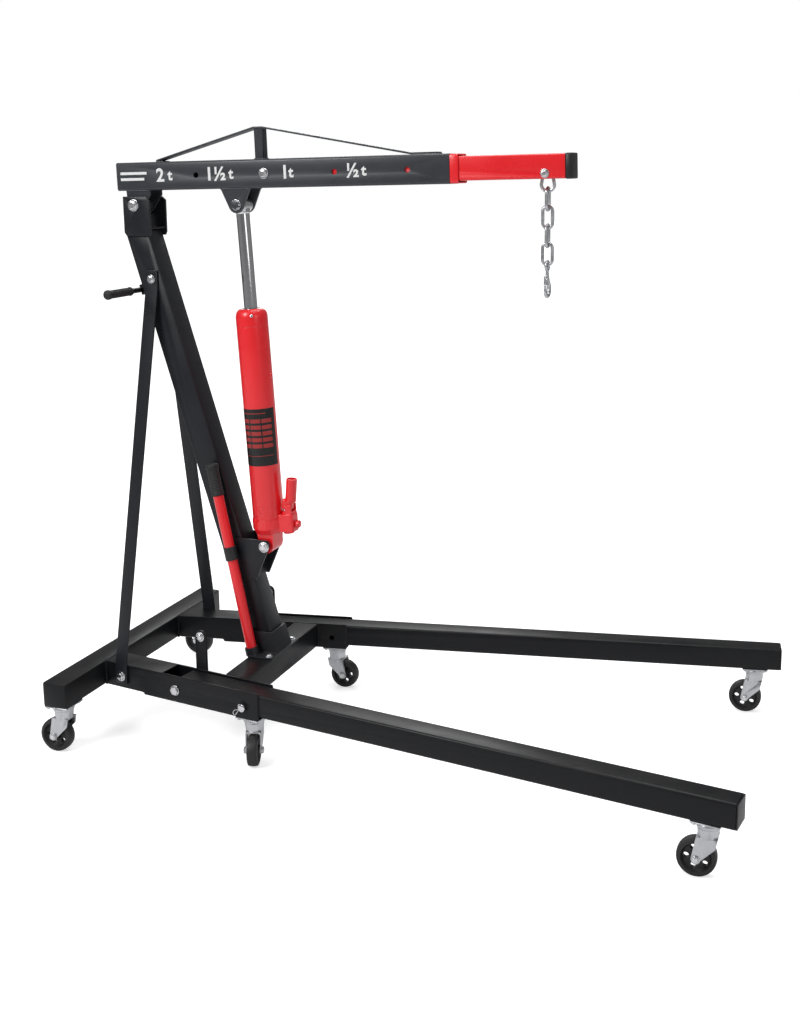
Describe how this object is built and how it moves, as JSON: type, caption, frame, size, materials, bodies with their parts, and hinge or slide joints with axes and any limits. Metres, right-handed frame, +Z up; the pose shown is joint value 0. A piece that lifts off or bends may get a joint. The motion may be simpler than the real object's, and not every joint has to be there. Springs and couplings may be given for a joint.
{
  "type": "engine hoist crane",
  "caption": "Folding floor crane with a hydraulic ram, an extending boom, a hook on a chain, folding splayed legs and swivel casters.",
  "frame": {"origin": "middle of the crane's length and width, on the floor", "axes": "+X forwards along the boom and legs, +Y to the left, +Z up"},
  "size_m": [1.7955, 0.9494, 1.5789],
  "materials": {
    "black_paint": "smooth black powder coat with a slight blue cast",
    "red_paint": "bright red gloss paint",
    "zinc": "bright zinc plating",
    "chrome": "ground and chromed rod",
    "rubber": "moulded black rubber",
    "plastic": "moulded black plastic"
  },
  "bodies": {
    "base_frame": {"rear_crossbeam": "black_paint", "side_rail_left": "black_paint", "side_rail_right": "black_paint", "mid_crossbeam": "black_paint", "mast": "black_paint", "mast_head_bracket": "black_paint", "ram_bracket": "black_paint", "foot_socket": "black_paint", "rear_brace_left": "black_paint", "rear_brace_right": "black_paint", "brace_bolt": "zinc", "push_handle": "black_paint", "push_handle_grip": "rubber", "handle_clip": "plastic", "leg_pivot_bolt_left": "zinc", "leg_pivot_bolt_right": "zinc"},
    "hinge_bolt": {"boom_hinge_bolt": "zinc"},
    "boom": {"boom": "black_paint", "boom_stay": "black_paint", "boom_collar": "red_paint"},
    "extension": {"boom_extension": "red_paint", "extension_cap": "plastic", "hook_bolt": "zinc"},
    "extension_lock": {"extension_bolt": "zinc"},
    "shackle": {"hook_shackle": "zinc"},
    "link_1": {"chain_link_1": "zinc"},
    "link_2": {"chain_link_2": "zinc"},
    "link_3": {"chain_link_3": "zinc"},
    "link_4": {"chain_link_4": "zinc"},
    "hook": {"hook": "zinc"},
    "latch": {"hook_latch": "zinc"},
    "ram_bolt": {"ram_lower_bolt": "zinc"},
    "ram": {"ram_cylinder": "red_paint", "ram_base": "red_paint"},
    "piston": {"ram_piston": "plastic"},
    "rod": {"ram_rod": "chrome"},
    "plunger": {"pump_plunger": "chrome"},
    "lever_socket": {"pump_socket": "red_paint"},
    "valve": {"release_valve": "zinc"},
    "stored_handle": {"pump_handle": "red_paint", "pump_handle_grip": "rubber"},
    "leg_left": {"leg_left": "black_paint", "leg_cap_left": "plastic"},
    "leg_right": {"leg_right": "black_paint", "leg_cap_right": "plastic"},
    "lock_pin_left": {"leg_lock_pin_left": "zinc"},
    "lock_pin_right": {"leg_lock_pin_right": "zinc"},
    "fork_rear_left": {"caster_fork_rear_left": "zinc"},
    "wheel_rear_left": {"caster_wheel_rear_left": "rubber"},
    "fork_mid_left": {"caster_fork_mid_left": "zinc"},
    "wheel_mid_left": {"caster_wheel_mid_left": "rubber"},
    "fork_front_left": {"caster_fork_front_left": "zinc"},
    "wheel_front_left": {"caster_wheel_front_left": "rubber"},
    "fork_rear_right": {"caster_fork_rear_right": "zinc"},
    "wheel_rear_right": {"caster_wheel_rear_right": "rubber"},
    "fork_mid_right": {"caster_fork_mid_right": "zinc"},
    "wheel_mid_right": {"caster_wheel_mid_right": "rubber"},
    "fork_front_right": {"caster_fork_front_right": "zinc"},
    "wheel_front_right": {"caster_wheel_front_right": "rubber"}
  },
  "joints": [
    {"name": "boom_raise", "type": "hinge", "parent": "base_frame", "child": "hinge_bolt", "pos_m": [-0.7554, 0, 1.381], "axis": [0, -1, 0], "range_deg": [0, 60]},
    {"name": "boom_lower", "type": "hinge", "parent": "hinge_bolt", "child": "boom", "pos_m": [-0.7554, 0, 1.381], "axis": [0, -1, 0], "range_deg": [-57, 0]},
    {"name": "ram_tilt_raise", "type": "hinge", "parent": "base_frame", "child": "ram_bolt", "pos_m": [-0.4107, 0, 0.4932], "axis": [0, -1, 0], "range_deg": [0, 7.17]},
    {"name": "ram_tilt_lower", "type": "hinge", "parent": "ram_bolt", "child": "ram", "pos_m": [-0.4107, 0, 0.4932], "axis": [0, -1, 0], "range_deg": [0, 13]},
    {"name": "rod_raise", "type": "slide", "parent": "ram", "child": "piston", "axis": [-0.0576, 0, 0.9983], "range_m": [0, 0.2704]},
    {"name": "rod_lower", "type": "slide", "parent": "piston", "child": "rod", "axis": [-0.0576, 0, 0.9983], "range_m": [-0.2427, 0]},
    {"name": "extension_slide", "type": "slide", "parent": "boom", "child": "extension", "axis": [0.9997, 0, 0.0244], "range_m": [-0.192, 0.384]},
    {"name": "extension_bolt_pull", "type": "slide", "parent": "boom", "child": "extension_lock", "axis": [0, -1, 0], "range_m": [0, 0.04]},
    {"name": "shackle_swing", "type": "hinge", "parent": "extension", "child": "shackle", "pos_m": [0.34488, 0, 1.46491], "axis": [0, 1, 0], "range_deg": [-60, 60]},
    {"name": "link_1_swing", "type": "hinge", "parent": "shackle", "child": "link_1", "pos_m": [0.34488, 0, 1.42291], "axis": [1, 0, 0], "range_deg": [-30, 30]},
    {"name": "link_2_swing", "type": "hinge", "parent": "link_1", "child": "link_2", "pos_m": [0.34488, 0, 1.37971], "axis": [0, 1, 0], "range_deg": [-30, 30]},
    {"name": "link_3_swing", "type": "hinge", "parent": "link_2", "child": "link_3", "pos_m": [0.34488, 0, 1.33651], "axis": [1, 0, 0], "range_deg": [-30, 30]},
    {"name": "link_4_swing", "type": "hinge", "parent": "link_3", "child": "link_4", "pos_m": [0.34488, 0, 1.29331], "axis": [0, 1, 0], "range_deg": [-30, 30]},
    {"name": "hook_swing", "type": "hinge", "parent": "link_4", "child": "hook", "pos_m": [0.34488, 0, 1.25011], "axis": [1, 0, 0], "range_deg": [-30, 30]},
    {"name": "latch_swing", "type": "hinge", "parent": "hook", "child": "latch", "pos_m": [0.34488, -0.0085, 1.22141], "axis": [1, 0, 0], "range_deg": [0, 25], "stiffness_Nm_per_rad": 0.02, "springref_deg": -17.19},
    {"name": "lever_stroke", "type": "hinge", "parent": "ram", "child": "lever_socket", "pos_m": [-0.35057, 0, 0.59683], "axis": [0, 1, 0], "range_deg": [0, 50]},
    {"name": "plunger_stroke", "type": "slide", "parent": "ram", "child": "plunger", "axis": [-0.0576, 0, 0.9983], "range_m": [0, 0.009]},
    {"name": "valve_turn", "type": "hinge", "parent": "ram", "child": "valve", "pos_m": [-0.41387, 0, 0.54811], "axis": [0.9983, 0, 0.0576], "range_deg": [0, 180]},
    {"name": "stored_handle_lift", "type": "slide", "parent": "base_frame", "child": "stored_handle", "axis": [-0.1961, 0, 0.9806], "range_m": [0, 0.35]},
    {"name": "leg_fold_left", "type": "hinge", "parent": "base_frame", "child": "leg_left", "pos_m": [-0.56173, 0.21523, 0.158], "axis": [0.1564, -0.9877, 0], "range_deg": [0, 90]},
    {"name": "lock_pin_pull_left", "type": "slide", "parent": "base_frame", "child": "lock_pin_left", "axis": [-0.1564, 0.9877, 0], "range_m": [0, 0.03]},
    {"name": "leg_fold_right", "type": "hinge", "parent": "base_frame", "child": "leg_right", "pos_m": [-0.56173, -0.21523, 0.158], "axis": [-0.1564, -0.9877, 0], "range_deg": [0, 90]},
    {"name": "lock_pin_pull_right", "type": "slide", "parent": "base_frame", "child": "lock_pin_right", "axis": [-0.1564, -0.9877, 0], "range_m": [0, 0.03]},
    {"name": "swivel_rear_left", "type": "hinge", "parent": "base_frame", "child": "fork_rear_left", "pos_m": [-0.8308, 0.35, 0], "axis": [0, 0, 1], "continuous": true},
    {"name": "roll_rear_left", "type": "hinge", "parent": "fork_rear_left", "child": "wheel_rear_left", "pos_m": [-0.8538, 0.35, 0.044], "axis": [0, 1, 0], "continuous": true},
    {"name": "swivel_mid_left", "type": "hinge", "parent": "base_frame", "child": "fork_mid_left", "pos_m": [-0.34049, 0.25027, 0], "axis": [0, 0, 1], "continuous": true},
    {"name": "roll_mid_left", "type": "hinge", "parent": "fork_mid_left", "child": "wheel_mid_left", "pos_m": [-0.31749, 0.24987, 0.04], "axis": [-0.0175, -0.9998, 0], "continuous": true},
    {"name": "swivel_front_left", "type": "hinge", "parent": "leg_left", "child": "fork_front_left", "pos_m": [0.82498, 0.43487, 0], "axis": [0, 0, 1], "continuous": true},
    {"name": "roll_front_left", "type": "hinge", "parent": "fork_front_left", "child": "wheel_front_left", "pos_m": [0.80198, 0.43487, 0.044], "axis": [0, 1, 0], "continuous": true},
    {"name": "swivel_rear_right", "type": "hinge", "parent": "base_frame", "child": "fork_rear_right", "pos_m": [-0.8308, -0.35, 0], "axis": [0, 0, 1], "continuous": true},
    {"name": "roll_rear_right", "type": "hinge", "parent": "fork_rear_right", "child": "wheel_rear_right", "pos_m": [-0.8538, -0.35, 0.044], "axis": [0, 1, 0], "continuous": true},
    {"name": "swivel_mid_right", "type": "hinge", "parent": "base_frame", "child": "fork_mid_right", "pos_m": [-0.34049, -0.25027, 0], "axis": [0, 0, 1], "continuous": true},
    {"name": "roll_mid_right", "type": "hinge", "parent": "fork_mid_right", "child": "wheel_mid_right", "pos_m": [-0.333, -0.27202, 0.04], "axis": [-0.9455, -0.3256, 0], "continuous": true},
    {"name": "swivel_front_right", "type": "hinge", "parent": "leg_right", "child": "fork_front_right", "pos_m": [0.82498, -0.43487, 0], "axis": [0, 0, 1], "continuous": true},
    {"name": "roll_front_right", "type": "hinge", "parent": "fork_front_right", "child": "wheel_front_right", "pos_m": [0.80198, -0.43487, 0.044], "axis": [0, 1, 0], "continuous": true}
  ],
  "couplings": [
    {"joint": "ram_tilt_raise", "follows": "boom_raise", "ratio": 0.1111},
    {"joint": "ram_tilt_lower", "follows": "boom_lower", "ratio": -0.2193},
    {"joint": "rod_raise", "follows": "boom_raise", "m_per_rad": 0.2563},
    {"joint": "rod_lower", "follows": "boom_lower", "m_per_rad": 0.2419},
    {"joint": "plunger_stroke", "follows": "lever_stroke", "m_per_rad": 0.0095}
  ]
}
